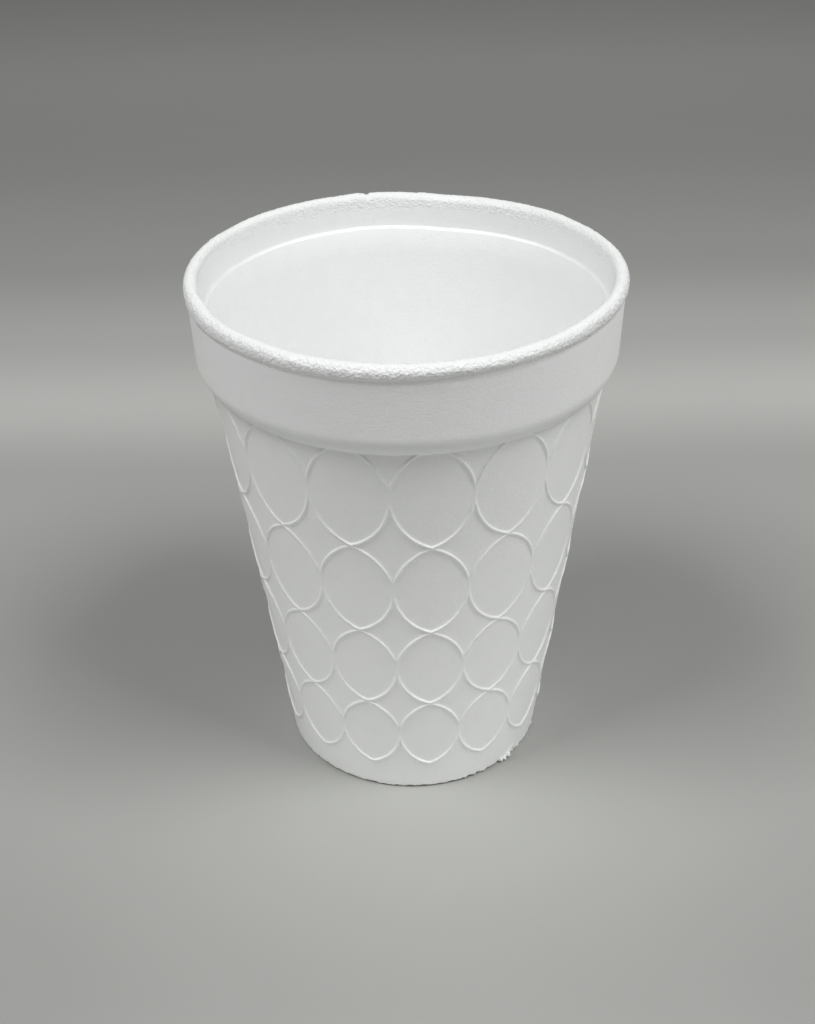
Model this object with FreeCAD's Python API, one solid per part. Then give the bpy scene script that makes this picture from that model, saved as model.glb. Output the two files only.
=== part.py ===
"""Foam cup: a moulded, tapered drinking cup with a rolled lip, a thick stacking band under it and
a lattice of raised rings on the wall.

Frame: origin at the centre of the circle that the foot ring stands on, +Z up through the mouth.
Units are millimetres. The cup is one moulding, so it is one solid.
"""
import FreeCAD
import Part
import math
import os

# ---- overall sizes -------------------------------------------------------------------------
height = 113.4            # floor to the top of the lip
rim_diameter = 88.9       # over the lip, the widest place
base_diameter = 57.5      # outer wall where it meets the table

# ---- lip and band --------------------------------------------------------------------------
lip_depth = 3.6           # top of the lip down to its lower edge
lip_proud = 0.55          # lip beyond the band below it
band_depth = 20.2         # top of the lip down to the crease under the band
band_draft = 0.5          # band narrower at its lower edge than at its top
band_step = 2.4           # lower edge of the band beyond the wall at the crease
shoulder_radius = 6.0     # rounding of the band's lower edge, down to the crease

# ---- wall, floor and foot ------------------------------------------------------------------
wall_thickness = 2.3      # measured level, the same from the floor up to the ledge
ledge_depth = 7.2         # top of the lip down to the small ledge inside
ledge_width = 0.7         # step outwards at that ledge
ledge_fall = 0.3          # how much the ledge slopes down towards the middle
lip_draft = 0.35          # inner face wider at the lip than just above the ledge
recess_depth = 3.0        # hollow underside, up from the table
floor_thickness = 2.8
foot_width = 3.4          # width of the foot ring
recess_draft = 0.6        # hollow narrower at its top than at its mouth
floor_corner_radius = 4.0 # inside, floor into wall
foot_corner_radius = 0.5  # outside, wall into foot ring
recess_corner_radius = 1.0

# ---- lattice of raised rings ---------------------------------------------------------------
ring_columns = 15         # rings round the cup
ring_rows = 4             # rows up the wall; the top row runs out under the band
first_ring_level = 7.9    # lowest point of the bottom row
ring_proportion = 1.487   # ring height over ring width
ring_gap = 0.12           # between the centre lines of two rings that share a ridge
ring_point = 0.34         # 0 gives round ovals; more moves the two side arcs past the middle
column_turn = 12.26       # angle of the first column, in degrees from +X
ridge_height = 0.35
ridge_foot_width = 0.92   # ridge where it leaves the wall
ridge_top_width = 0.48    # flat on top of the ridge
ridge_root = 0.5          # how far a ridge is rooted in the wall before they are joined
arc_facets = 10           # flat facets on each flank of one side of a ring

# ---- sizes that follow ---------------------------------------------------------------------
rim_radius = rim_diameter / 2
base_radius = base_diameter / 2
crease_level = height - band_depth
ledge_level = height - ledge_depth
floor_level = recess_depth + floor_thickness
band_top_radius = rim_radius - lip_proud
band_low_radius = band_top_radius - band_draft
crease_radius = band_low_radius - band_step
wall_slope = (crease_radius - base_radius) / crease_level


def wall_radius(level):
    """Outer radius of the tapered wall at a height."""
    return base_radius + wall_slope * level


def inner_radius(level):
    """Inner radius of the wall at a height; it runs parallel to the outside."""
    return wall_radius(level) - wall_thickness


mouth_radius = inner_radius(ledge_level) + ledge_width + lip_draft
lip_radius = (rim_radius - mouth_radius) / 2


def at(radius, level):
    """Point of the profile, in the plane that is turned about the axis."""
    return FreeCAD.Vector(radius, 0, level)


def arc_between(start, end, radius, bulge):
    """Arc of a given radius from start to end; bulge is +1 for one side of the chord, -1 for the other."""
    chord = end - start
    across = FreeCAD.Vector(chord.z, 0, -chord.x) / chord.Length
    sagitta = radius - math.sqrt(radius ** 2 - (chord.Length / 2) ** 2)
    middle = (start + end) / 2 + across * sagitta * bulge
    return Part.Arc(start, middle, end).toShape()


def rounded_corner(before, corner, after, radius):
    """Tangent arc that rounds the corner between two straight runs, with the points where it meets them."""
    to_before = (before - corner).normalize()
    to_after = (after - corner).normalize()
    half_angle = to_before.getAngle(to_after) / 2
    reach = radius / math.tan(half_angle)
    start = corner + to_before * reach
    end = corner + to_after * reach
    bisector = (to_before + to_after).normalize()
    centre = corner + bisector * (radius / math.sin(half_angle))
    middle = centre - bisector * radius
    return start, Part.Arc(start, middle, end).toShape(), end


def line(start, end):
    """Straight run of the profile."""
    return Part.LineSegment(start, end).toShape()


def shoulder_start_level():
    """Height where the shoulder's arc leaves the band, so that it reaches the crease."""
    turn = math.acos(1 - band_step / shoulder_radius)
    return crease_level + shoulder_radius * math.sin(turn)


def cup_profile():
    """Half section of the plain cup: underside, outside, lip and inside."""
    foot_inner_radius = base_radius - foot_width
    recess_top = at(foot_inner_radius - recess_draft, recess_depth)
    recess_mouth = at(foot_inner_radius, 0)
    foot_edge = at(base_radius, 0)
    crease = at(crease_radius, crease_level)
    shoulder = at(band_low_radius, shoulder_start_level())
    band_top = at(band_top_radius, height - lip_depth)
    lip_outer = at(rim_radius, height - lip_radius)
    lip_top = at(rim_radius - lip_radius, height)
    lip_inner = at(mouth_radius, height - lip_radius)
    ledge_outer = at(mouth_radius - lip_draft, ledge_level)
    ledge_inner = at(inner_radius(ledge_level), ledge_level - ledge_fall)
    floor_corner = at(inner_radius(floor_level), floor_level)
    under_centre = at(0, recess_depth)
    floor_centre = at(0, floor_level)

    recess_in, recess_round, recess_out = rounded_corner(
        under_centre, recess_top, recess_mouth, recess_corner_radius)
    foot_in, foot_round, foot_out = rounded_corner(recess_mouth, foot_edge, crease, foot_corner_radius)
    floor_in, floor_round, floor_out = rounded_corner(
        ledge_inner, floor_corner, floor_centre, floor_corner_radius)
    lip_drop = lip_depth - lip_radius
    bead_radius = (lip_drop ** 2 + lip_proud ** 2) / (2 * lip_proud)
    over = lip_radius * math.sqrt(0.5)
    lip_outer_mid = at(rim_radius - lip_radius + over, height - lip_radius + over)
    lip_inner_mid = at(rim_radius - lip_radius - over, height - lip_radius + over)

    edges = [
        line(under_centre, recess_in), recess_round, line(recess_out, recess_mouth),
        line(recess_mouth, foot_in), foot_round, line(foot_out, crease),
        arc_between(crease, shoulder, shoulder_radius, 1), line(shoulder, band_top),
        arc_between(band_top, lip_outer, bead_radius, 1),
        Part.Arc(lip_outer, lip_outer_mid, lip_top).toShape(),
        Part.Arc(lip_top, lip_inner_mid, lip_inner).toShape(),
        line(lip_inner, ledge_outer), line(ledge_outer, ledge_inner),
        line(ledge_inner, floor_in), floor_round, line(floor_out, floor_centre),
        line(floor_centre, under_centre),
    ]
    return Part.Wire(edges)


def turned(wire):
    """Solid made by turning a closed half section about the cup's axis."""
    return Part.Face(wire).revolve(FreeCAD.Vector(0, 0, 0), FreeCAD.Vector(0, 0, 1), 360)


def wall_skin(depth, rise, low, high):
    """Thin tapered sleeve that follows the wall, from depth inside its surface to rise outside it."""
    corners = [
        at(wall_radius(low) - depth, low), at(wall_radius(low) + rise, low),
        at(wall_radius(high) + rise, high), at(wall_radius(high) - depth, high),
    ]
    return turned(Part.makePolygon(corners + corners[:1]))


def ring_rows_on_wall():
    """Centre level, half width and half height of each row.

    Each ring spans its own share of the wall's circumference and keeps one proportion, so the
    rings grow with the taper and each row starts where the row below it ends.
    """
    share = math.sin(math.pi / ring_columns)
    rows = []
    low = first_ring_level
    for _ in range(ring_rows):
        half_width = wall_radius(low) * share / (1 - wall_slope * ring_proportion * share)
        half_height = half_width * ring_proportion
        centre = low + half_height
        rows.append((centre, half_width - ring_gap / 2, half_height - ring_gap / 2))
        low = centre + half_height
    return rows


def wall_frame(centre):
    """Local axes on the wall at a height: across the wall, up the wall and straight out of it."""
    lean = math.atan(wall_slope)
    across = FreeCAD.Vector(0, 1, 0)
    upward = FreeCAD.Vector(math.sin(lean), 0, math.cos(lean))
    outward = FreeCAD.Vector(math.cos(lean), 0, -math.sin(lean))
    return at(wall_radius(centre), centre), across, upward, outward


def ring_corners(centre, half_width, half_height, offset):
    """Corners of one edge of a ridge, going round in the wall's local axes.

    A ring is a pointed oval of two side arcs that meet at its top and bottom. Each arc is part of
    an ellipse whose middle lies past the ring's middle by the share ring_point. The corners lie on
    the wall, offset outwards from the ridge's centre line.
    """
    arc_width = half_width / (1 - ring_point)
    shift = ring_point * arc_width
    arc_height = half_height / math.sqrt(1 - ring_point ** 2)
    tip_turn = math.acos(shift / (arc_width + offset))
    corners = []
    for side in (1, -1):
        for step in range(arc_facets):
            turn = side * tip_turn * (2 * step / arc_facets - 1)
            across = side * ((arc_width + offset) * math.cos(turn) - shift)
            upward = (arc_height + offset) * math.sin(turn)
            sag = across ** 2 / (2 * wall_radius(centre + upward))
            corners.append(FreeCAD.Vector(across, upward, -sag))
    return corners


def flank_planes(centre, half_width, half_height, side):
    """Flat facets of one flank of a ring, each as a point and a normal in the wall's local axes.

    side is +1 for the flank outside the ring and -1 for the one inside it. Each facet stands on a
    chord of the ring's edge and leans towards the middle of the ridge.
    """
    flank = (ridge_foot_width - ridge_top_width) / 2 / ridge_height
    corners = ring_corners(centre, half_width, half_height, side * ridge_foot_width / 2)
    planes = []
    for start, end in zip(corners, corners[1:] + corners[:1]):
        middle = (start + end) / 2
        along = (end - start).normalize()
        out = FreeCAD.Vector(middle.x / wall_radius(centre + middle.y), 0, 1).normalize()
        sideways = out.cross(along)
        planes.append((middle, along.cross(out + sideways * side * flank)))
    return planes


def outline_at(planes, rise):
    """Corners where neighbouring facets meet, at one height over the wall's tangent plane."""
    outline = []
    for (point, normal), (next_point, next_normal) in zip(planes[-1:] + planes[:-1], planes):
        first = normal.dot(point) - normal.z * rise
        second = next_normal.dot(next_point) - next_normal.z * rise
        scale = normal.x * next_normal.y - normal.y * next_normal.x
        outline.append(FreeCAD.Vector((first * next_normal.y - second * normal.y) / scale,
                                      (second * normal.x - first * next_normal.x) / scale, rise))
    return outline


def flank_solid(centre, half_width, half_height, side):
    """Solid inside one flank of a ring, from below the wall's surface to above the ridge."""
    origin, across, upward, outward = wall_frame(centre)
    planes = flank_planes(centre, half_width, half_height, side)
    sag = half_width ** 2 / (2 * wall_radius(centre))
    loops = []
    for rise in (-sag - 2 * ridge_root, 2 * ridge_height):
        loops.append([origin + across * p.x + upward * p.y + outward * p.z
                      for p in outline_at(planes, rise)])
    low, high = loops
    faces = [Part.Face(Part.makePolygon(loop + loop[:1])) for loop in loops]
    for a, b, c, d in zip(low, low[1:] + low[:1], high[1:] + high[:1], high):
        faces.append(Part.Face(Part.makePolygon([a, b, c, d, a])))
    shell = Part.makeShell(faces)
    shell.sewShape()
    solid = Part.makeSolid(shell)
    if solid.Volume < 0:
        solid.reverse()
    return solid


def ring_ridge(centre, half_width, half_height):
    """Ridge of one ring with sloping flanks, taller and deeper than what is kept of it."""
    outside = flank_solid(centre, half_width, half_height, 1)
    inside = flank_solid(centre, half_width, half_height, -1)
    return outside.cut(inside)


def ring_lattice():
    """Every ridge of the lattice, trimmed to the ridge height and to the wall below the band."""
    sleeve = wall_skin(ridge_root, ridge_height, first_ring_level / 2, crease_level + ridge_height)
    column = [ring_ridge(*row).common(sleeve) for row in ring_rows_on_wall()]
    ridges = []
    for index in range(ring_columns):
        turn = column_turn + 360 / ring_columns * index
        for ridge in column:
            copy = ridge.copy()
            copy.rotate(FreeCAD.Vector(0, 0, 0), FreeCAD.Vector(0, 0, 1), turn)
            ridges.append(copy)
    return ridges


def build_cup():
    """The whole cup, with its rings moulded on, as one solid."""
    plain_cup = turned(cup_profile())
    return plain_cup.multiFuse(ring_lattice()).Solids[0]


os.makedirs("parts", exist_ok=True)
cup = build_cup()
cup.exportStep("parts/cup.step")
print(f"cup: {cup.ShapeType}, valid {cup.isValid()}, {cup.Volume / 1000:.1f} cubic centimetres")
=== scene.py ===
"""Dressing of a foam cup: a moulded, tapered cup with a rolled lip, a thick band and a lattice of rings.

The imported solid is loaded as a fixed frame. One detailed shell stands for it: ridges with rounded and worn
tops, a grainy lip of uneven height and thickness, a slightly squeezed wall, a chipped foot with crumbs, and
foam with fine fused cells. Lengths are metres, turns are degrees from +X, seen from above.
"""
import logging
import math
from contextlib import contextmanager
from dataclasses import dataclass, field
from enum import Enum
from typing import Callable, Iterator

import bmesh
import bpy
import numpy as np
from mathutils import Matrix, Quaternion, Vector, noise


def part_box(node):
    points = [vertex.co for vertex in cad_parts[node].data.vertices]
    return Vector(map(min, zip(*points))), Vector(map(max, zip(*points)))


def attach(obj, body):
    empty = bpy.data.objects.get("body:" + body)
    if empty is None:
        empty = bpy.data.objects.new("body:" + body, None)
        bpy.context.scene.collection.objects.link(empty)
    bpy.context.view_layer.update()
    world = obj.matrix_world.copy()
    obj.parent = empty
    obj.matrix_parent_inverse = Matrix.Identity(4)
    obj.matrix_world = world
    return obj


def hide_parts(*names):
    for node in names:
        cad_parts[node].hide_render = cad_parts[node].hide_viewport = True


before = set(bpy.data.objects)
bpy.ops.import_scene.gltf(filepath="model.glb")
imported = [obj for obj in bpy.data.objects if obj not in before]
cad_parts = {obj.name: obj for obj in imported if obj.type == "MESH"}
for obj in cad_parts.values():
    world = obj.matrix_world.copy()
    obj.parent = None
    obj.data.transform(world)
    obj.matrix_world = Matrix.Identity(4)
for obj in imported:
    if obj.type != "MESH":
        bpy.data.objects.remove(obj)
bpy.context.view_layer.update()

MM = 0.001
TINY = 1e-9  # keeps a division by a length from failing
Inputs = dict[str | int, object]
log = logging.getLogger("foam_cup")


class Zone(Enum):
    """Stretches of the shell that are meshed finely."""

    LIP = "lip"
    FOOT = "foot"


def select_only(*pieces: bpy.types.Object) -> None:
    """Select some objects and nothing else, and make the last of them active.

    Args:
        pieces: the objects; none deselects everything.
    """
    bpy.ops.object.select_all(action="DESELECT")
    for piece in pieces:
        piece.select_set(True)
        bpy.context.view_layer.objects.active = piece


@contextmanager
def editing(piece: bpy.types.Object) -> Iterator[bmesh.types.BMesh]:
    """Open a mesh in edit mode with nothing selected, and close it again.

    Args:
        piece: the mesh object to edit.

    Yields:
        The edit mesh, for selecting by place.
    """
    select_only(piece)
    bpy.ops.object.mode_set(mode="EDIT")
    bpy.ops.mesh.select_all(action="DESELECT")
    try:
        yield bmesh.from_edit_mesh(piece.data)
    finally:
        bpy.ops.object.mode_set(mode="OBJECT")


def pick(mesh: bmesh.types.BMesh, kind: str, test: Callable[[object], bool]) -> int:
    """Select vertices, edges or faces that pass a test, and nothing else.

    Args:
        mesh: the open edit mesh.
        kind: "VERT", "EDGE" or "FACE".
        test: called with each element.

    Returns:
        How many were selected.
    """
    bpy.ops.mesh.select_mode(type=kind)
    bpy.ops.mesh.select_all(action="DESELECT")
    elements = {"VERT": mesh.verts, "EDGE": mesh.edges, "FACE": mesh.faces}[kind]
    chosen = [element for element in elements if test(element)]
    for element in chosen:
        element.select_set(True)
    mesh.select_flush_mode()
    return len(chosen)


def read_points(piece: bpy.types.Object) -> np.ndarray:
    """Read where a piece's vertices are.

    Args:
        piece: the mesh object.

    Returns:
        An array with one row for each vertex.
    """
    points = np.empty(len(piece.data.vertices) * 3)
    piece.data.vertices.foreach_get("co", points)
    return points.reshape(-1, 3)


def read_round(piece: bpy.types.Object) -> tuple[np.ndarray, np.ndarray, np.ndarray]:
    """Read where a piece's vertices are, and how they lie round the cup's axis.

    Args:
        piece: the mesh object.

    Returns:
        The vertices, and the turn in degrees and the distance from the axis of each.
    """
    points = read_points(piece)
    angle = np.degrees(np.arctan2(points[:, 1], points[:, 0]))
    return points, angle, np.hypot(points[:, 0], points[:, 1])


def write_points(piece: bpy.types.Object, points: np.ndarray) -> None:
    """Put an array of points back into a piece's vertices."""
    piece.data.vertices.foreach_set("co", points.ravel())
    piece.data.update()


def smooth_step(low: float, high: float, value: np.ndarray) -> np.ndarray:
    """Ramp from 0 at low to 1 at high with level ends."""
    share = np.clip((value - low) / (high - low), 0.0, 1.0)
    return share * share * (3 - 2 * share)


def turn_between(angle: np.ndarray, centre: float) -> np.ndarray:
    """Signed difference in degrees between angles and one angle, from -180 to 180."""
    return (angle - centre + 180.0) % 360.0 - 180.0


@dataclass(frozen=True)
class NodeSheet:
    """Shader nodes of one new material."""

    material: bpy.types.Material

    @classmethod
    def named(cls, name: str) -> "NodeSheet":
        """Start a new material, with its usual shader.

        Args:
            name: the material's name.

        Returns:
            Its sheet of nodes.
        """
        material = bpy.data.materials.new(name)
        material.use_nodes = True
        return cls(material)

    def fill(self, node: bpy.types.Node, inputs: Inputs) -> None:
        """Set or link some inputs of a node.

        Args:
            node: the node.
            inputs: for the name or number of each input, a value or the output that feeds it.
        """
        for key, value in inputs.items():
            if isinstance(value, bpy.types.NodeSocket):
                self.material.node_tree.links.new(value, node.inputs[key])
            else:
                node.inputs[key].default_value = value

    def add(self, kind: str, output: str, inputs: Inputs, **options: str) -> bpy.types.NodeSocket:
        """Add a node.

        Args:
            kind: its type, without the leading ShaderNode.
            output: the output that is wanted.
            inputs: values and links, as for fill.
            options: the node's own settings.

        Returns:
            The wanted output.
        """
        node = self.material.node_tree.nodes.new("ShaderNode" + kind)
        for name, value in options.items():
            setattr(node, name, value)
        self.fill(node, inputs)
        return node.outputs[output]

    def ramp(self, share: bpy.types.NodeSocket, stops: list[tuple[float, tuple[float, ...]]],
             blend: str = "LINEAR") -> bpy.types.NodeSocket:
        """Add a ramp of colours.

        Args:
            share: the output that drives it.
            stops: place and colour of each stop, in order.
            blend: how it runs between two stops.

        Returns:
            The colour.
        """
        node = self.material.node_tree.nodes.new("ShaderNodeValToRGB")
        node.color_ramp.interpolation = blend
        elements = node.color_ramp.elements
        elements[0].position, elements[1].position = stops[0][0], stops[-1][0]
        for position, _ in stops[1:-1]:
            elements.new(position)
        for element, (_, colour) in zip(elements, stops):
            element.color = (*colour, 1.0)
        self.fill(node, {"Fac": share})
        return node.outputs["Color"]

    def shade(self, inputs: Inputs) -> bpy.types.Material:
        """Feed the shader itself.

        Args:
            inputs: values and links, as for fill.

        Returns:
            The finished material.
        """
        self.fill(self.material.node_tree.nodes["Principled BSDF"], inputs)
        return self.material


@dataclass(frozen=True)
class CupForm:
    """Sizes of the plain cup, and the radius of its outside at any height."""

    height: float
    rim_radius: float
    base_radius: float = 28.75 * MM
    lip_depth: float = 3.6 * MM
    lip_proud: float = 0.55 * MM
    band_depth: float = 20.2 * MM
    band_draft: float = 0.5 * MM
    band_step: float = 2.4 * MM
    shoulder_radius: float = 6.0 * MM
    wall_thickness: float = 2.3 * MM
    ledge_depth: float = 7.2 * MM
    ledge_width: float = 0.7 * MM
    ledge_fall: float = 0.3 * MM
    lip_draft: float = 0.35 * MM
    recess_depth: float = 3.0 * MM
    floor_thickness: float = 2.8 * MM
    foot_width: float = 3.4 * MM
    recess_draft: float = 0.6 * MM
    floor_corner: float = 4.0 * MM
    foot_corner: float = 0.3 * MM
    lip_bead: tuple[float, ...] = (0.03, 0.08, 0.15, 0.24, 0.34, 0.46, 0.59, 0.72, 0.86)
    lip_turns: tuple[float, ...] = (
        *range(0, 100, 11), *range(103, 128, 4), *(137 + 10.75 * step for step in range(5)))
    fine_foot: tuple[float, ...] = (2.0, 1.7, 1.4, 1.1, 0.85, 0.6, 0.35)

    @property
    def crease_level(self) -> float:
        """Height of the crease under the band."""
        return self.height - self.band_depth

    @property
    def band_low_radius(self) -> float:
        """Radius of the band just above its rounded lower edge."""
        return self.rim_radius - self.lip_proud - self.band_draft

    @property
    def wall_slope(self) -> float:
        """Growth of the wall's radius for each unit of height."""
        return (self.band_low_radius - self.band_step - self.base_radius) / self.crease_level

    @property
    def shoulder_level(self) -> float:
        """Height where the rounded lower edge of the band starts."""
        turn = math.acos(1 - self.band_step / self.shoulder_radius)
        return self.crease_level + self.shoulder_radius * math.sin(turn)

    @property
    def mouth_radius(self) -> float:
        """Inner radius at the lip."""
        return self.inner_radius(self.height - self.ledge_depth) + self.ledge_width + self.lip_draft

    @property
    def lip_radius(self) -> float:
        """Radius of the lip's own rounding."""
        return (self.rim_radius - self.mouth_radius) / 2

    def wall_radius(self, level: float) -> float:
        """Outer radius of the tapered wall at a height."""
        return self.base_radius + self.wall_slope * level

    def inner_radius(self, level: float) -> float:
        """Inner radius of the tapered wall at a height."""
        return self.wall_radius(level) - self.wall_thickness

    def shoulder_at(self, level: np.ndarray) -> np.ndarray:
        """Follow the band's rounded lower edge.

        Args:
            level: heights on the outside.

        Returns:
            The edge's radius at each height, and 0 below the crease.
        """
        drop = np.clip(self.shoulder_level - level, 0.0, self.shoulder_radius)
        arc = self.shoulder_radius - np.sqrt(self.shoulder_radius ** 2 - drop ** 2)
        return np.where(level >= self.crease_level - 0.001 * MM, self.band_low_radius - arc, 0.0)

    def above_lattice(self, lattice_top: float) -> list[tuple[float, float]]:
        """Stations (radius, level) from the lattice's upper edge, over the lip and down to the floor.

        Args:
            lattice_top: height where the lattice's mesh ends, on the band's rounded edge.

        Returns:
            The stations in the order in which a maker would draw them.
        """
        top, rim, lip = self.height, self.rim_radius, self.lip_radius
        stations = []
        for share in np.linspace(0, 1, 7):
            level = lattice_top + (self.shoulder_level - lattice_top) * share
            stations.append((float(self.shoulder_at(np.array(level))), level))
        lip_foot = top - self.lip_depth
        for share in np.linspace(0, 1, 10)[1:]:
            stations.append((self.band_low_radius + self.band_draft * share,
                             self.shoulder_level + (lip_foot - self.shoulder_level) * share))
        stations[-1:] = [(stations[-1][0], lip_foot - 0.35 * MM), (stations[-1][0], lip_foot)]
        for share in self.lip_bead:
            stations.append((rim - self.lip_proud * (1 - share) ** 4,
                             lip_foot + (self.lip_depth - lip) * share))
        for turn in np.radians(self.lip_turns):
            stations.append((rim - lip + lip * math.cos(turn), top - lip + lip * math.sin(turn)))
        ledge = top - self.ledge_depth
        for share in (0.2, 0.4, 0.6, 0.8, 0.97, 1.0):
            stations.append((self.mouth_radius - self.lip_draft * share,
                             top - lip + (ledge - top + lip) * share))
        low = ledge - self.ledge_fall
        stations.append((self.inner_radius(ledge) + 0.08 * MM, low + 0.03 * MM))
        stations.append((self.inner_radius(ledge), low))
        stations.append((self.inner_radius(ledge) - 0.06 * MM, low - 0.1 * MM))
        floor = self.recess_depth + self.floor_thickness
        corner_top = floor + self.floor_corner
        for share in np.linspace(0, 1, 19)[1:]:
            level = low + (corner_top - low) * share
            stations.append((self.inner_radius(level), level))
        for turn in np.radians(np.linspace(15, 90, 6)):
            stations.append((self.inner_radius(corner_top) - self.floor_corner * (1 - math.cos(turn)),
                             corner_top - self.floor_corner * math.sin(turn)))
        for share in (0.66, 0.33):
            stations.append((stations[-1][0] * share, floor))
        return stations

    def below_lattice(self, start: float) -> list[tuple[float, float]]:
        """Stations from a height on the wall down round the foot ring and into the hollow underside.

        Args:
            start: height of the shell's lower end before these.

        Returns:
            The stations (radius, level) in the order in which a maker would draw them.
        """
        stations = []
        for level in (start * 0.6, start * 0.36, *(height * MM for height in self.fine_foot)):
            stations.append((self.wall_radius(level), level))
        corner = self.foot_corner
        for turn in np.radians((20, 45, 70, 90)):
            stations.append((self.base_radius - corner * (1 - math.cos(turn)), corner * (1 - math.sin(turn))))
        inner = self.base_radius - self.foot_width
        outer_edge, inner_edge = self.base_radius - corner, inner + corner
        for share in (0.33, 0.66):
            stations.append((outer_edge + (inner_edge - outer_edge) * share, 0.0))
        top, roof = inner - self.recess_draft, self.recess_depth
        stations += [(inner_edge, 0.0), (inner, 0.1 * MM), (inner - 0.1 * MM, 0.4 * MM)]
        stations += [(top + 0.1 * MM, roof - 0.8 * MM), (top - 0.2 * MM, roof - 0.3 * MM)]
        stations += [(top - 0.8 * MM, roof), (top * 0.6, roof), (top * 0.3, roof)]
        return stations


@dataclass(frozen=True)
class RingLattice:
    """Lattice of raised rings: its layout, its mesh and the height of its ridges."""

    form: CupForm
    columns: int = 15
    rows: int = 4
    first_level: float = 7.9 * MM
    proportion: float = 1.487
    gap: float = 0.12 * MM
    point: float = 0.34
    first_turn: float = 12.26
    ridge_height: float = 0.35 * MM
    ridge_reach: float = 0.47 * MM
    side_height: float = 0.12
    side_fade: tuple[float, float] = (0.12, 0.30)
    ridge_wear: float = 0.45
    wear_cell: float = 1.1 * MM
    around: int = 48
    panel_shares: tuple[float, ...] = (0.4, 0.72, 0.93)
    ridge_offsets: tuple[float, ...] = (-0.54, -0.42, -0.31, -0.21, -0.11, 0.0, 0.11, 0.21, 0.31, 0.42, 0.54)
    levels: tuple[tuple[float, float, float, float], ...] = field(init=False)

    def __post_init__(self) -> None:
        """Work out each row: its lower edge, centre, half width and half height."""
        share = math.sin(math.pi / self.columns)
        rows, low = [], self.first_level
        growth = 1 - self.form.wall_slope * self.proportion * share
        for _ in range(self.rows):
            half_width = self.form.wall_radius(low) * share / growth
            half_height = half_width * self.proportion
            rows.append((low, low + half_height, half_width - self.gap / 2, half_height - self.gap / 2))
            low += 2 * half_height
        object.__setattr__(self, "levels", tuple(rows))

    @property
    def top_level(self) -> float:
        """Height of the lattice mesh's upper edge."""
        low, centre, _, _ = self.levels[-1]
        return 2 * centre - low

    @property
    def loops(self) -> int:
        """Closed loops in one cell's mesh."""
        return len(self.panel_shares) + len(self.ridge_offsets) + 2

    def build_flat_cells(self) -> bpy.types.Object:
        """Model one flat cell as rings of faces, and repeat it over rows and columns.

        Returns:
            The cells, laid on the wall.
        """
        select_only()
        bpy.ops.mesh.primitive_circle_add(vertices=self.around, radius=1.0, fill_type="TRIFAN")
        cell = bpy.context.object
        cell.name = "ring_cell"
        with editing(cell) as mesh:
            pick(mesh, "EDGE", lambda edge: edge.is_boundary)
            for loop in range(1, self.loops):
                bpy.ops.mesh.extrude_region_move()
                grow = (loop + 1) / loop
                bpy.ops.transform.resize(value=(grow, grow, 1.0), center_override=(0.0, 0.0, 0.0))
        pitch = 2.0 * (self.loops + 2)
        for count, step in ((self.columns, (pitch, 0.0, 0.0)), (self.rows, (0.0, pitch, 0.0))):
            array = cell.modifiers.new("repeat", "ARRAY")
            array.count = count
            array.use_relative_offset = False
            array.use_constant_offset = True
            array.constant_offset_displace = step
            bpy.ops.object.modifier_apply(modifier=array.name)
        self.wrap(cell, pitch)
        return cell

    def arcs(self, half_width: np.ndarray,
             half_height: np.ndarray) -> tuple[np.ndarray, np.ndarray, np.ndarray]:
        """Work out the two side arcs of a ring.

        Args:
            half_width: half the ring's width.
            half_height: half its height.

        Returns:
            The arcs' half width, their shift past the middle, and their half height.
        """
        arc_width = half_width / (1 - self.point)
        return arc_width, self.point * arc_width, half_height / math.sqrt(1 - self.point ** 2)

    def wrap(self, cells: bpy.types.Object, pitch: float) -> None:
        """Lay the flat cells on the tapered wall, each loop at its place across the ridge.

        Args:
            cells: the flat cells.
            pitch: distance between two of them.
        """
        flat = read_points(cells)
        column = np.rint(flat[:, 0] / pitch)
        row = np.rint(flat[:, 1] / pitch).astype(int)
        local = flat[:, :2] - np.stack([column, row], axis=1) * pitch
        loop = np.rint(np.hypot(local[:, 0], local[:, 1])).astype(int)
        turn = np.arctan2(local[:, 1], local[:, 0])
        low, centre, half_width, half_height = (np.array(self.levels)[row, i] for i in range(4))
        half_pitch = math.pi / self.columns

        side = np.where(np.abs(turn) <= math.pi / 2 + 1e-6, 1.0, -1.0)
        climb = np.where(side > 0, turn, np.sign(turn) * math.pi - turn) / (math.pi / 2)
        arc_width, shift, arc_height = self.arcs(half_width, half_height)
        panels = len(self.panel_shares)
        offsets = np.array(self.ridge_offsets) * MM
        shares = np.array((0.0,) + self.panel_shares + (1.0,) * (len(offsets) + 2))[loop]
        offset = np.concatenate(([offsets[0]] * (panels + 1), np.minimum(offsets, 0.0), [0.0, 0.0]))[loop]
        arc_turn = climb * np.arccos(shift / (arc_width + offset))
        across = side * ((arc_width + offset) * np.cos(arc_turn) - shift) * shares
        level = centre + (arc_height + offset) * np.sin(arc_turn) * shares
        angle = np.arcsin(across / self.form.wall_radius(level))

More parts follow.
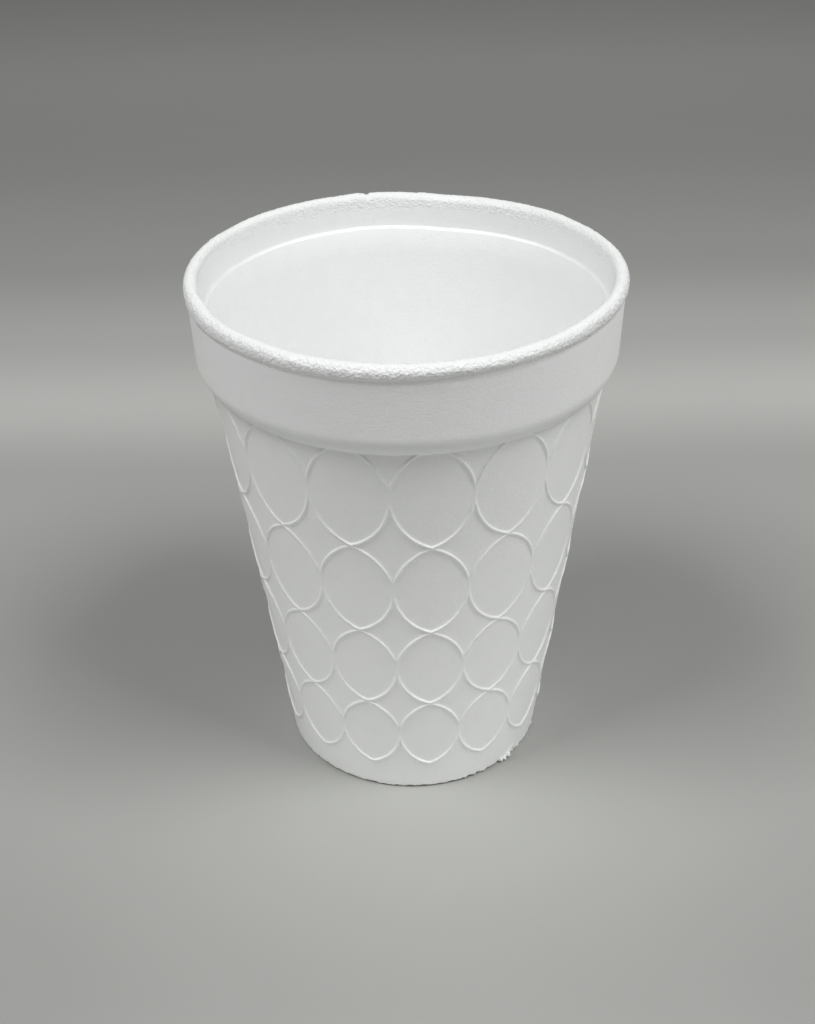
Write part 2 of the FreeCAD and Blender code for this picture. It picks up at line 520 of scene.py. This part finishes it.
        quarter = np.mod(turn + math.pi / 4, 2 * math.pi) // (math.pi / 2)
        along = (np.mod(turn + math.pi / 4, math.pi / 2) - math.pi / 4) / (math.pi / 4)
        quarters = [quarter == 0, quarter == 1, quarter == 2]
        edge_angle = np.select(quarters, [1.0, -along, -1.0], along) * half_pitch
        edge_rise = np.select(quarters, [along, 1.0, -along], -1.0)
        edge_level = centre + edge_rise * (centre - low)
        normal = np.stack([side * np.cos(arc_turn) / arc_width, np.sin(arc_turn) / arc_height], axis=1)
        normal /= np.linalg.norm(normal, axis=1)[:, None]
        reach = (edge_angle - angle) * self.form.wall_radius(centre) * normal[:, 0]
        reach += (edge_level - level) * normal[:, 1]
        outer = np.concatenate(([0.0] * (panels + 1), np.maximum(offsets, 0.0), [0.0, 0.0]))[loop]
        share = np.clip(outer / np.maximum(reach, TINY), 0.0, 1.0)
        last = np.clip(offsets[-1] / np.maximum(reach, TINY), 0.0, 1.0)
        share = np.where(loop == self.loops - 1, (1 + last) / 2, np.where(loop == self.loops, 1.0, share))
        on_border = (1 - share) * reach < self.gap / 4
        share = np.where(on_border, 1.0, share)
        angle = angle + (edge_angle - angle) * share
        level = level + (edge_level - level) * share
        turned = angle + math.radians(self.first_turn) + column * 2 * half_pitch
        radius = self.form.wall_radius(level)
        write_points(cells, np.stack([radius * np.cos(turned), radius * np.sin(turned), level], axis=1))

    def ridge(self, angle: np.ndarray, level: np.ndarray) -> np.ndarray:
        """Height of the ridges over the wall, with neighbouring ridges melted into one.

        Args:
            angle: degrees round the cup.
            level: height on the wall.

        Returns:
            The height for each point.
        """
        bare = np.ones_like(level)
        step = 360.0 / self.columns
        nearest = np.rint((angle - self.first_turn) / step)
        fade_start, fade_end = self.side_fade
        for _, centre, half_width, half_height in self.levels:
            arc_width, shift, arc_height = self.arcs(half_width, half_height)
            for neighbour in (-1, 0, 1):
                column = turn_between(self.first_turn + (nearest + neighbour) * step, 0.0)
                away = np.radians(turn_between(angle, 0.0) - column)
                away = np.arctan2(np.sin(away), np.cos(away))
                across = (self.form.wall_radius(level) * np.abs(np.sin(away)) + shift) / arc_width
                rise = (level - centre) / arc_height
                size = np.maximum(np.hypot(across, rise), 1e-6)
                slope = np.hypot(across / arc_width, rise / arc_height) / size
                distance = np.abs(size - 1) / slope
                near = np.clip(distance / self.ridge_reach, 0.0, 1.0)
                raised = self.side_height
                raised += (1 - self.side_height) * smooth_step(fade_start, fade_end, np.abs(rise))
                bare *= 1 - 0.5 * (1 + np.cos(np.pi * near)) * raised
        radius = self.form.wall_radius(level)
        turn = np.radians(angle)
        places = np.stack([radius * np.cos(turn), radius * np.sin(turn), level], axis=1) / self.wear_cell
        worn = np.array([noise.noise(Vector(place)) for place in places])
        return self.ridge_height * (1 - bare) * (1 - self.ridge_wear * np.clip(worn + 0.1, 0.0, 1.0))


@dataclass(frozen=True)
class Grain:
    """Relief of fused foam cells that shows where the skin is broken."""

    cell: float = 0.66 * MM
    height: float = 0.105 * MM
    fine_height: float = 0.055 * MM

    def at(self, point: Vector) -> float:
        """Add up the beads, the fine grain inside them and the patches where both are stronger.

        Args:
            point: a place on the shell.

        Returns:
            The height of the grain there.
        """
        distances, centres = noise.voronoi(point / self.cell, distance_metric="DISTANCE", exponent=2.5)
        tone = noise.cell(Vector(centres[0]) * 7.31) - 0.5
        bead = (1.0 - min(distances[0], 1.0) ** 2) * 0.9 - 0.45 + 0.7 * tone
        fine = noise.noise(point / (0.33 * self.cell))
        patch = 0.75 + 0.9 * noise.noise(point / (6 * self.cell))
        return (bead * self.height + fine * self.fine_height) * patch


@dataclass(frozen=True)
class Squeeze:
    """Slight flattening of one side of the wall, as by a hand."""

    form: CupForm
    centre: float = 183.0
    half_width: float = 20.0
    depth: float = 0.62 * MM
    fade_up: tuple[float, float] = (-4 * MM, 18 * MM)
    fade_under_crease: float = 9 * MM

    def apply(self, shell: bpy.types.Object) -> None:
        """Move the outside and the inside of the wall together.

        Args:
            shell: the finished shell.
        """
        points, angle, radius = read_round(shell)
        radius = np.maximum(radius, TINY)
        share = np.exp(-(turn_between(angle, self.centre) / self.half_width) ** 2)
        crease = self.form.crease_level
        share *= smooth_step(*self.fade_up, points[:, 2])
        share *= 1 - smooth_step(crease - self.fade_under_crease, crease, points[:, 2])
        share *= smooth_step(0.3, 0.8, radius / self.form.wall_radius(points[:, 2]))
        scale = 1 - share * self.depth / radius
        points[:, :2] *= scale[:, None]
        write_points(shell, points)


@dataclass(frozen=True)
class LipWear:
    """Uneven height and thickness, grain, ragged edge, nick, creases and scratch of the rolled lip.

    The tables go round the cup in degrees. The lift of the rim and the thinning of the lip from below are in
    millimetres at each turn. A crease or a hanging tooth is a turn, a half width in degrees and a depth in
    millimetres.
    """

    form: CupForm
    grain: Grain = Grain()
    lift: tuple[tuple[float, float], ...] = (
        (5.0, 0.0), (20.0, -0.2), (34.0, -0.28), (41.0, -0.15), (51.0, -0.32), (65.0, -0.5),
        (77.0, -0.68), (85.0, -0.4), (99.0, 0.0), (101.5, 0.0), (104.6, 0.18), (108.6, 0.05),
        (121.0, 0.15), (140.0, 0.19), (150.0, 0.1), (158.0, 0.25), (176.0, 0.2), (200.0, 0.0),
        (214.0, -0.3), (226.0, -0.35), (244.0, -0.65), (262.0, -0.72), (280.0, -0.6), (292.0, -0.52),
        (304.0, -0.28), (316.0, 0.05), (324.0, 0.25), (338.0, 0.2), (350.0, 0.08))
    thin: tuple[tuple[float, float], ...] = (
        (20.0, 0.0), (204.0, 0.0), (214.0, 0.25), (250.0, 0.4), (262.0, 0.65), (272.0, 0.75), (282.0, 1.0),
        (292.0, 1.12), (302.0, 1.05), (312.0, 0.8), (322.0, 0.75), (336.0, 0.85), (350.0, 0.5))
    nick_turn: float = 101.4
    nick_half_width: float = 0.6
    nick_depth: float = 0.26 * MM
    creases: tuple[tuple[float, float, float], ...] = (
        (336.3, 0.22, 0.16), (341.5, 0.3, 0.06), (348.0, 0.35, 0.07), (353.5, 0.3, 0.07), (359.0, 0.4, 0.06),
        (188.0, 0.35, 0.05), (203.0, 0.3, 0.06), (101.4, 0.5, 0.1))
    scratch: tuple[tuple[float, float], tuple[float, float]] = ((193.5, 43.35 * MM), (208.5, 42.0 * MM))
    hanging: tuple[tuple[float, float, float], ...] = (
        (195.9, 0.8, 0.55), (204.5, 0.35, 0.3), (206.3, 0.3, 0.35), (209.0, 0.4, 0.3), (212.5, 0.3, 0.35),
        (216.0, 0.35, 0.3))
    fray: tuple[tuple[float, float, float], ...] = ((0.11, 0.62, 3.1), (0.10, 1.9, 8.2))
    scratch_band: float = 1.3 * MM
    scratch_width: float = 0.17 * MM
    scratch_ridge: float = 0.16
    scratch_groove: float = 0.22
    smooth_band: tuple[float, float] = (1.9 * MM, 0.7 * MM)
    smooth_grain: float = 0.35
    edge_band: float = 0.34 * MM

    @staticmethod
    def round_the_cup(table: tuple[tuple[float, float], ...], angle: np.ndarray) -> np.ndarray:
        """Smooth rise and fall through a table of turns and millimetres.

        Args:
            table: pairs of a turn in degrees and a height in millimetres.
            angle: degrees round the cup.

        Returns:
            The height for each angle, in metres.
        """
        turns = np.array([turn for turn, _ in table])
        rises = np.array([rise for _, rise in table]) * MM
        order = np.mod(angle, 360.0)
        turns = np.concatenate((turns[-1:] - 360.0, turns, turns[:1] + 360.0))
        rises = np.concatenate((rises[-1:], rises, rises[:1]))
        right = np.clip(np.searchsorted(turns, order), 1, len(turns) - 1)
        share = (order - turns[right - 1]) / (turns[right] - turns[right - 1])
        share = share * share * (3 - 2 * share)
        return rises[right - 1] * (1 - share) + rises[right] * share

    def edge_drop(self, angle: np.ndarray) -> np.ndarray:
        """Add up the fray of the lip's lower edge and the teeth that hang from it.

        Args:
            angle: degrees round the cup.

        Returns:
            How far the edge hangs below its plain level, in metres.
        """
        drop = np.zeros_like(angle)
        for height, pace, row in self.fray:
            drop += [height * noise.noise(Vector((turn * pace, row, 0.0))) for turn in angle]
        for turn, half_width, depth in self.hanging:
            drop += depth * np.exp(-(turn_between(angle, turn) / half_width) ** 2)
        return drop * MM

    def relief(self, points: np.ndarray, angle: np.ndarray, radius: np.ndarray) -> np.ndarray:
        """Add up the grain, the creases and the scratch on the skin of the lip.

        Args:
            points: the shell's vertices.
            angle: degrees round the cup of each vertex.
            radius: distance of each vertex from the cup's axis.

        Returns:
            How far each vertex moves along its normal.
        """
        form, level = self.form, points[:, 2]
        lip_foot = form.height - form.lip_depth
        strength = smooth_step(lip_foot - 0.1 * MM, lip_foot + 0.3 * MM, level)
        strength *= smooth_step(form.mouth_radius + 0.1 * MM, form.mouth_radius + 0.6 * MM, radius)
        inner, outer = self.smooth_band
        skin = smooth_step(form.rim_radius - inner, form.rim_radius - outer, radius)
        skin = skin * (1 - self.smooth_grain) + self.smooth_grain
        shift = np.zeros_like(level)
        for index in np.nonzero(strength > 0.01)[0]:
            shift[index] = self.grain.at(Vector(points[index])) * strength[index] * skin[index]
        for turn, half_width, depth in self.creases:
            shift -= depth * MM * np.exp(-(turn_between(angle, turn) / half_width) ** 2) * strength
        (first, start), (last, end) = self.scratch
        along = np.clip((np.mod(angle, 360.0) - first) / (last - first), 0.0, 1.0)
        marked = np.sin(np.pi * along) ** 0.4 * (level > form.height - self.scratch_band)
        across = (radius - (start + (end - start) * along)) / self.scratch_width
        profile = self.scratch_ridge * np.exp(-across ** 2)
        profile -= self.scratch_groove * np.exp(-(across + 1.7) ** 2)
        return shift + marked * profile * MM

    def apply(self, shell: bpy.types.Object) -> None:
        """Shape the lip of the finished shell: its skin first, then its lower edge, its nick and its rises.

        Args:
            shell: the finished shell.
        """
        form = self.form
        points, angle, radius = read_round(shell)
        normals = np.array([vertex.normal for vertex in shell.data.vertices])
        level = points[:, 2]
        lip_foot = form.height - form.lip_depth
        outside = radius > form.rim_radius - form.lip_radius
        rise = smooth_step(form.crease_level, lip_foot, level)
        lower = smooth_step(lip_foot - self.edge_band, lip_foot - 0.01 * MM, level) * outside
        lower *= 1 - smooth_step(lip_foot, form.height - 0.5 * MM, level)
        points += normals * self.relief(points, angle, radius)[:, None]
        edge = smooth_step(lip_foot - self.edge_band, lip_foot - 0.01 * MM, level)
        edge *= 1 - smooth_step(lip_foot + 0.1 * MM, lip_foot + 1.2 * MM, level)
        edge *= outside
        chosen = np.nonzero(edge > 0.005)[0]
        points[chosen, 2] -= self.edge_drop(angle[chosen]) * edge[chosen]
        nick = np.exp(-(turn_between(angle, self.nick_turn) / self.nick_half_width) ** 2)
        nick *= smooth_step(form.height - 1.6 * MM, form.height - 0.5 * MM, level)
        points[:, 2] += self.round_the_cup(self.lift, angle) * rise - nick * self.nick_depth
        points[:, 2] += self.round_the_cup(self.thin, angle) * lower
        write_points(shell, points)


@dataclass(frozen=True)
class FootWear:
    """Uneven lower edge, chips and crumbs at the foot.

    A chip is a turn, a half width in degrees, a height and a depth in millimetres. A crumb is a turn, a half
    width in degrees, a height and a size in millimetres.
    """

    form: CupForm
    grain: Grain = Grain(height=0.11 * MM)
    band: float = 1.2 * MM
    edge_height: float = 0.9 * MM
    lift: float = 0.16
    wave: float = 0.26
    crumb_height: float = 0.55 * MM
    chips: tuple[tuple[float, float, float, float], ...] = (
        (214.0, 0.8, 0.35, 0.15), (226.0, 1.1, 0.4, 0.2), (238.0, 0.7, 0.3, 0.15), (251.0, 1.3, 0.35, 0.2),
        (262.0, 0.8, 0.4, 0.2), (274.0, 1.6, 0.3, 0.15), (287.0, 1.0, 0.35, 0.2), (295.2, 0.9, 0.6, 0.3),
        (299.4, 1.1, 0.7, 0.35), (305.0, 0.8, 0.5, 0.25), (311.5, 1.0, 1.0, 0.5), (321.5, 1.2, 1.6, 0.7),
        (328.0, 0.8, 0.5, 0.3), (339.8, 0.9, 0.7, 0.35), (345.1, 1.2, 0.8, 0.4), (352.0, 0.8, 0.4, 0.2))
    crumbs: tuple[tuple[float, float, float, float], ...] = (
        (313.0, 0.9, 0.8, 0.65), (315.2, 0.7, 0.7, 0.9), (317.4, 1.0, 1.2, 1.05), (320.0, 0.8, 1.9, 0.7),
        (290.5, 0.5, 0.6, 0.22), (293.2, 0.4, 0.5, 0.26), (298.0, 0.4, 0.7, 0.28), (303.0, 0.5, 0.5, 0.24),
        (326.0, 0.5, 0.9, 0.26), (333.0, 0.5, 1.1, 0.24), (341.8, 0.5, 1.4, 0.3))

    def apply(self, shell: bpy.types.Object) -> None:
        """Shape the foot of the finished shell.

        Args:
            shell: the finished shell.
        """
        form = self.form
        points, angle, radius = read_round(shell)
        level = points[:, 2]
        outer = radius > form.base_radius - self.band
        low = outer * (1 - smooth_step(0.3 * MM, 2.2 * MM, level))
        chosen = np.nonzero((low > 0.01) & (level < 4 * MM))[0]
        out, up = np.zeros(len(chosen)), np.zeros(len(chosen))
        for place, index in enumerate(chosen):
            wave = noise.noise(Vector((angle[index] * 0.45, 5.5, 0.0)))
            out[place] = self.grain.at(Vector(points[index])) * low[index] * 0.6
            up[place] = max(0.0, self.lift + self.wave * wave) * MM
        near = turn_between(angle[chosen], 0.0)
        for turn, half_width, height, bite in self.chips:
            cut = np.exp(-(turn_between(near, turn) / half_width) ** 2)
            cut *= np.exp(-(level[chosen] / (height * MM)) ** 2)
            out -= cut * bite * MM
            up += cut * 0.25 * MM
        for turn, half_width, height, size in self.crumbs:
            lump = np.exp(-(turn_between(near, turn) / half_width) ** 2)
            lump *= np.exp(-((level[chosen] - height * MM) / self.crumb_height) ** 2)
            out += lump * size * MM
        up += self.lift * MM
        edge = 1 - smooth_step(0.0, self.edge_height, level[chosen])
        scale = 1 + out / radius[chosen]
        points[chosen, :2] *= scale[:, None]
        rim = smooth_step(form.base_radius - self.band, form.base_radius - 0.4 * MM, radius[chosen])
        points[chosen, 2] += up * edge * rim
        write_points(shell, points)


@dataclass(frozen=True)
class FoamFinish:
    """White expanded foam: fused cells, faint mottling, bare crystals at the lip and the foot, and a painted
    shade on the top of the lip.
    """

    name: str = "white_foam"
    light: tuple[float, float, float] = (0.980, 0.990, 0.986)
    shade: tuple[float, float, float] = (0.963, 0.975, 0.970)
    cell: float = 1.15 * MM
    crystal: float = 0.5 * MM
    # painted shade: factor that darkens the top of the lip, in place of less light from above
    painted_crown_shade: float = 0.9
    roughness: float = 0.62
    lip_level: float = 0.1
    crown_level: float = 0.1
    foot_level: float = 0.001

    def material(self) -> bpy.types.Material:
        """Build the finish as shader nodes on object coordinates.

        Returns:
            The material.
        """
        sheet = NodeSheet.named(self.name)
        place = sheet.add("TexCoord", "Object", {})
        level = sheet.add("SeparateXYZ", "Z", {"Vector": place})
        cells = sheet.add("TexVoronoi", "Distance", {"Vector": place, "Scale": 1 / self.cell},
                          feature="DISTANCE_TO_EDGE")
        crystals = sheet.add("TexVoronoi", "Distance", {"Vector": place, "Scale": 1 / self.crystal})
        mottle = sheet.add("TexNoise", "Fac", {"Vector": place, "Scale": 260.0, "Detail": 4.0})
        fine = sheet.add("TexNoise", "Fac", {"Vector": place, "Scale": 2600.0, "Detail": 3.0})

        tint = sheet.ramp(mottle, [(0.3, self.shade), (0.62, self.light)])
        # painted shade: the lip's top above crown_level is made darker to stand in for less light from above
        painted_crown_dim = sheet.add("MapRange", "Result", {
            "Value": level, "From Min": self.crown_level - 0.5 * MM, "From Max": self.crown_level + 0.2 * MM,
            "To Min": 1.0, "To Max": self.painted_crown_shade})
        tone = sheet.add("VectorMath", "Vector", {0: tint, "Scale": painted_crown_dim}, operation="SCALE")
        rough = sheet.add("MapRange", "Result", {
            "Value": mottle, "To Min": self.roughness - 0.1, "To Max": self.roughness + 0.1})

        seams = sheet.add("MapRange", "Result", {"Value": cells, "From Max": 0.09},
                          interpolation_type="SMOOTHSTEP")
        grit = sheet.add("Bump", "Normal", {"Strength": 0.25, "Distance": 0.05 * MM, "Height": fine})
        relief = sheet.add("Bump", "Normal", {
            "Strength": 0.45, "Distance": 0.05 * MM, "Height": seams, "Normal": grit})
        at_lip = sheet.add("MapRange", "Result", {
            "Value": level, "From Min": self.lip_level, "From Max": self.lip_level + 0.5 * MM})
        at_foot = sheet.add("MapRange", "Result", {
            "Value": level, "From Min": self.foot_level + 0.8 * MM, "From Max": self.foot_level})
        bare = sheet.add("Math", "Value", {0: at_lip, 1: at_foot}, operation="MAXIMUM")
        sparkle = sheet.add("Bump", "Normal", {
            "Strength": bare, "Distance": 0.14 * MM, "Height": crystals, "Normal": relief})
        return sheet.shade({
            "Base Color": tone, "Roughness": rough, "Specular IOR Level": 0.3, "Normal": sparkle})


@dataclass(frozen=True)
class CupShell:
    """The cup's whole surface as one closed mesh."""

    form: CupForm
    lattice: RingLattice
    squeeze: Squeeze
    lip: LipWear
    foot: FootWear
    finish: FoamFinish
    around: int = 180
    fine_cuts: int = 4
    crease_cuts: tuple[float, ...] = (-0.35, -0.12, 0.0, 0.12, 0.4, 0.9)
    merge_distance: float = 0.012 * MM

    def walk(self, mesh: bmesh.types.BMesh, start: tuple[float, float],
             stations: list[tuple[float, float]]) -> None:
        """Extrude the selected end face through a list of stations, and close the last one with a fan.

        Args:
            mesh: the open edit mesh, with the end face selected.
            start: radius and level of that face.
            stations: radius and level of each step.
        """
        radius, level = start
        for next_radius, next_level in stations:
            bpy.ops.mesh.extrude_region_move(
                TRANSFORM_OT_translate={"value": (0.0, 0.0, next_level - level)})
            scale = next_radius / radius
            bpy.ops.transform.resize(value=(scale, scale, 1.0), center_override=(0.0, 0.0, next_level))
            radius, level = next_radius, next_level
        bpy.ops.mesh.poke()

    def plain_shell(self) -> bpy.types.Object:
        """Model the cup without its rings: foot, band, lip, inside and floor.

        Returns:
            The shell, open where the rings go.
        """
        form, low, top = self.form, self.lattice.first_level, self.lattice.top_level
        start = 0.8 * low
        select_only()
        bpy.ops.mesh.primitive_cone_add(
            vertices=self.around, radius1=form.wall_radius(start), radius2=form.wall_radius(low),
            depth=low - start, location=(0.0, 0.0, (low + start) / 2))
        shell = bpy.context.object
        shell.name = "cup_shell"
        bpy.ops.object.transform_apply(location=True)
        stations = form.above_lattice(top)
        with editing(shell) as mesh:
            pick(mesh, "FACE", lambda face: face.normal.z < -0.9)
            self.walk(mesh, (form.wall_radius(start), start), form.below_lattice(start))
            mesh = bmesh.from_edit_mesh(shell.data)
            pick(mesh, "FACE", lambda face: face.normal.z > 0.9
                 and face.calc_center_median().z > low - 0.1 * MM)
            self.walk(mesh, (form.wall_radius(low), low), stations)
            mesh = bmesh.from_edit_mesh(shell.data)
            middle = (low + top) / 2
            pick(mesh, "FACE", lambda face: abs(face.calc_center_median().z - middle) < 1.0 * MM
                 and face.calc_center_median().xy.length > form.wall_radius(middle) - 0.5 * MM)
            bpy.ops.mesh.delete(type="ONLY_FACE")
        return shell

    def turn_to_lattice(self, shell: bpy.types.Object) -> None:
        """Turn the shell so that its columns meet the lattice's cells.

        Args:
            shell: the plain shell.
        """
        points, angle, radius = read_round(shell)
        step = 360.0 / self.around
        offset = (self.lattice.first_turn + 180.0 / self.lattice.columns) % step
        angle = np.radians(np.rint(angle / step) * step + offset)
        points[:, 0], points[:, 1] = radius * np.cos(angle), radius * np.sin(angle)
        write_points(shell, points)

    def refine(self, shell: bpy.types.Object, zone: Zone) -> None:
        """Add columns to the lip or the foot by cutting its level edges.

        Args:
            shell: the shell with its rings.
            zone: the stretch to cut.
        """
        form = self.form
        lip_low, foot_top = form.height - form.lip_depth - 0.4 * MM, 2.1 * MM
        lip_inside = form.height - form.lip_radius - 1.2 * MM

        def wanted(edge: bmesh.types.BMEdge) -> bool:
            """Tell whether an edge lies level and in the zone.

            Args:
                edge: the edge.

            Returns:
                Whether it gets cut.
            """
            first, second = edge.verts[0].co, edge.verts[1].co
            radius = first.xy.length
            if abs(first.z - second.z) > 1e-6 or abs(radius - second.xy.length) > 1e-5:
                return False
            if zone is Zone.FOOT:
                return first.z < foot_top and radius > form.base_radius - form.foot_width + 0.1 * MM
            outside = radius > form.rim_radius - form.lip_radius
            return first.z > (lip_low if outside else lip_inside) and radius > form.mouth_radius - 0.5 * MM

        with editing(shell) as mesh:
            count = pick(mesh, "EDGE", wanted)
            bpy.ops.mesh.subdivide(number_cuts=self.fine_cuts)
        log.info("%s: %d edges cut", zone.value, count)

    def raise_rings(self, shell: bpy.types.Object) -> None:
        """Put every outside point of the lattice zone at its radius, ridges included.

        Args:
            shell: the shell joined with the lattice's cells.
        """
        form, lattice = self.form, self.lattice
        points, angle, radius = read_round(shell)
        level = points[:, 2]
        zone = (level > lattice.first_level - 1.0 * MM) & (level < lattice.top_level + 0.01 * MM)
        zone &= radius > form.wall_radius(level) - 1.0 * MM
        wall = form.wall_radius(level)
        wall[zone] += lattice.ridge(angle[zone], level[zone])
        wanted = np.maximum(wall, form.shoulder_at(level))
        scale = np.where(zone, wanted / np.maximum(radius, TINY), 1.0)
        points[:, :2] *= scale[:, None]
        write_points(shell, points)

    def join_cells(self, shell: bpy.types.Object) -> None:
        """Build the lattice's cells and join them to the shell.

        Args:
            shell: the plain shell.
        """
        cells = self.lattice.build_flat_cells()
        select_only(cells, shell)
        bpy.ops.object.join()

    def cut_crease(self, shell: bpy.types.Object) -> None:
        """Cut the outside level at the crease under the band, for a crisp fold.

        Args:
            shell: the shell joined with the lattice's cells.
        """
        crease = self.form.crease_level
        with editing(shell) as mesh:
            bpy.ops.mesh.select_all(action="SELECT")
            for rise in self.crease_cuts:
                pick(mesh, "FACE", lambda face: abs(face.calc_center_median().z - crease) < 6 * MM
                     and face.calc_center_median().xy.length > self.form.wall_radius(crease) - 1.0 * MM)
                bpy.ops.mesh.bisect(plane_co=(0.0, 0.0, crease + rise * MM), plane_no=(0.0, 0.0, 1.0))
                mesh = bmesh.from_edit_mesh(shell.data)

    def build(self) -> bpy.types.Object:
        """Model, join, shape and dress the shell.

        Returns:
            The finished shell.
        """
        shell = self.plain_shell()
        self.turn_to_lattice(shell)
        self.join_cells(shell)
        self.cut_crease(shell)
        self.raise_rings(shell)
        with editing(shell):
            bpy.ops.mesh.select_all(action="SELECT")
            bpy.ops.mesh.remove_doubles(threshold=self.merge_distance)
            bpy.ops.mesh.normals_make_consistent(inside=False)
        for zone in Zone:
            self.refine(shell, zone)
        for change in (self.squeeze, self.lip, self.foot):
            change.apply(shell)
        select_only(shell)
        bpy.ops.object.shade_smooth()
        shell.data.materials.clear()
        shell.data.materials.append(self.finish.material())
        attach(shell, "root")
        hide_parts("cup")
        return shell


@dataclass(frozen=True)
class FloorFinish:
    """Pale matt floor with painted light: its tone follows the distance from the viewer, with a painted
    bright band, and a painted glow of bounced light round the cup.
    """

    name: str = "pale_floor"
    # painted light and shade: floor tone by distance from the viewer, with a painted bright band behind the
    # cup and darker stretches where light falls off
    painted_light_tones: tuple[tuple[float, float], ...] = (
        (-0.40, 0.29), (-0.16, 0.31), (-0.09, 0.323), (-0.03, 0.375), (0.05, 0.395), (0.11, 0.40),
        (0.16, 0.54), (0.21, 0.455), (0.28, 0.37), (0.40, 0.35), (0.60, 0.44))
    tint: tuple[float, float, float] = (1.0, 1.012, 0.97)
    # painted light: a brighter pool of floor in front of the cup, standing in for light bounced off the cup
    painted_glow_place: tuple[float, float, float] = (0.005, -0.055, 0.0)
    painted_glow_reach: float = 0.10
    painted_glow: float = 1.17
    mottling: float = 0.015

    def material(self) -> bpy.types.Material:
        """Build the finish as shader nodes on object coordinates.

        Returns:
            The material.
        """
        sheet = NodeSheet.named(self.name)
        place = sheet.add("TexCoord", "Object", {})
        depth = sheet.add("SeparateXYZ", "Y", {"Vector": place})
        # painted light: ramp of the floor's tone by distance, from the painted light and shade tones
        near, far = self.painted_light_tones[0][0], self.painted_light_tones[-1][0]
        share = sheet.add("MapRange", "Result", {"Value": depth, "From Min": near, "From Max": far})
        stops = [((distance - near) / (far - near), tuple(level * part for part in self.tint))
                 for distance, level in self.painted_light_tones]
        tone = sheet.ramp(share, stops, "EASE")
        # painted light: brighten the floor round the cup as a painted pool of bounced light
        away = sheet.add("VectorMath", "Value", {0: place, 1: self.painted_glow_place}, operation="DISTANCE")
        painted_glow = sheet.add("MapRange", "Result", {
            "Value": away, "From Max": self.painted_glow_reach, "To Min": self.painted_glow, "To Max": 1.0},
            interpolation_type="SMOOTHSTEP")
        mottle = sheet.add("TexNoise", "Fac", {"Vector": place, "Scale": 25.0, "Detail": 3.0})
        soften = sheet.add("MapRange", "Result", {
            "Value": mottle, "To Min": 1 - self.mottling, "To Max": 1 + self.mottling})
        both = sheet.add("Math", "Value", {0: soften, 1: painted_glow}, operation="MULTIPLY")
        lit = sheet.add("VectorMath", "Vector", {0: tone, "Scale": both}, operation="SCALE")
        return sheet.shade({"Base Color": lit, "Roughness": 0.75, "Specular IOR Level": 0.1})


@dataclass(frozen=True)
class Lamp:
    """Soft rectangular lamp that faces the cup and isn't seen itself."""

    name: str
    place: tuple[float, float, float]
    size: tuple[float, float]
    power: float
    target: tuple[float, float, float] = (0.0, 0.0, 0.05)

    def build(self) -> bpy.types.Object:
        """Hang the lamp.

        Returns:
            The lamp.
        """
        select_only()
        bpy.ops.object.light_add(type="AREA", location=self.place)
        lamp = bpy.context.object
        lamp.name = self.name
        lamp.data.shape = "RECTANGLE"
        lamp.data.size, lamp.data.size_y = self.size
        lamp.data.energy = self.power
        aim = Vector(self.target) - Vector(self.place)
        lamp.rotation_euler = aim.to_track_quat("-Z", "Y").to_euler()
        lamp.visible_camera = False
        return lamp


@dataclass(frozen=True)
class Studio:
    """Plain pale floor with painted light and a painted glow, soft light and the camera."""

    floor_size: float = 6.0
    floor_finish: FloorFinish = FloorFinish()
    lamps: tuple[Lamp, ...] = (
        Lamp("lamp_left", (-0.40, -0.22, 0.865), (0.35, 0.35), 4.3),
        Lamp("lamp_right", (0.40, -0.24, 0.87), (0.35, 0.35), 4.5),
        Lamp("side_left", (-0.55, -0.10, 0.30), (0.3, 0.3), 0.12),
        Lamp("side_right", (0.55, -0.10, 0.30), (0.3, 0.3), 0.40),
        Lamp("low_front", (0.0, -0.135, 0.012), (0.3, 0.02), 0.038))
    ambient: float = 0.10
    eye: tuple[float, float, float] = (0.0, -0.27045, 0.22563)
    forward: tuple[float, float, float] = (-0.00192, 0.84582, -0.53347)
    roll: float = -1.09
    lens: float = 50.70

    def floor(self) -> bpy.types.Object:
        """Lay the floor.

        Returns:
            The floor.
        """
        select_only()
        bpy.ops.mesh.primitive_plane_add(size=self.floor_size, location=(0.0, 0.0, 0.0))
        floor = bpy.context.object
        floor.name = "floor"
        floor.data.materials.append(self.floor_finish.material())
        return floor

    def world(self) -> None:
        """Even light from all round."""
        world = bpy.data.worlds.new("studio")
        bpy.context.scene.world = world
        world.use_nodes = True
        background = world.node_tree.nodes["Background"]
        background.inputs["Color"].default_value = (1.0, 1.0, 1.0, 1.0)
        background.inputs["Strength"].default_value = self.ambient

    def camera(self) -> bpy.types.Object:
        """Set the camera at the eye and turn it forward.

        Returns:
            The camera.
        """
        bpy.ops.object.camera_add(location=self.eye)
        camera = bpy.context.object
        turn = Vector(self.forward).to_track_quat("-Z", "Y")
        turn = turn @ Quaternion((0.0, 0.0, 1.0), math.radians(self.roll))
        camera.rotation_euler = turn.to_euler()
        camera.data.lens = self.lens
        camera.data.sensor_width = 36.0
        camera.data.clip_start = 0.01
        bpy.context.scene.camera = camera
        return camera

    def build(self) -> None:
        """Set up the whole studio."""
        for piece in (self.floor(), *(lamp.build() for lamp in self.lamps)):
            log.info("%s: set", piece.name)
        self.world()
        self.camera()
        bpy.context.scene.view_settings.view_transform = "Standard"


def main() -> None:
    """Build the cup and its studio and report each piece."""
    logging.basicConfig(level=logging.INFO)
    low, high = (Vector(corner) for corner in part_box("cup"))
    form = CupForm(height=high.z - low.z, rim_radius=(high.x - low.x) / 2)
    lattice = RingLattice(form)
    finish = FoamFinish(lip_level=form.height - form.lip_depth, crown_level=form.height - 0.9 * MM)
    shell = CupShell(form, lattice, Squeeze(form), LipWear(form), FootWear(form), finish).build()
    triangles = sum(len(face.vertices) - 2 for face in shell.data.polygons)
    log.info("%s: %d vertices, %d triangles", shell.name, len(shell.data.vertices), triangles)
    Studio().build()


if __name__ == "__main__":
    main()
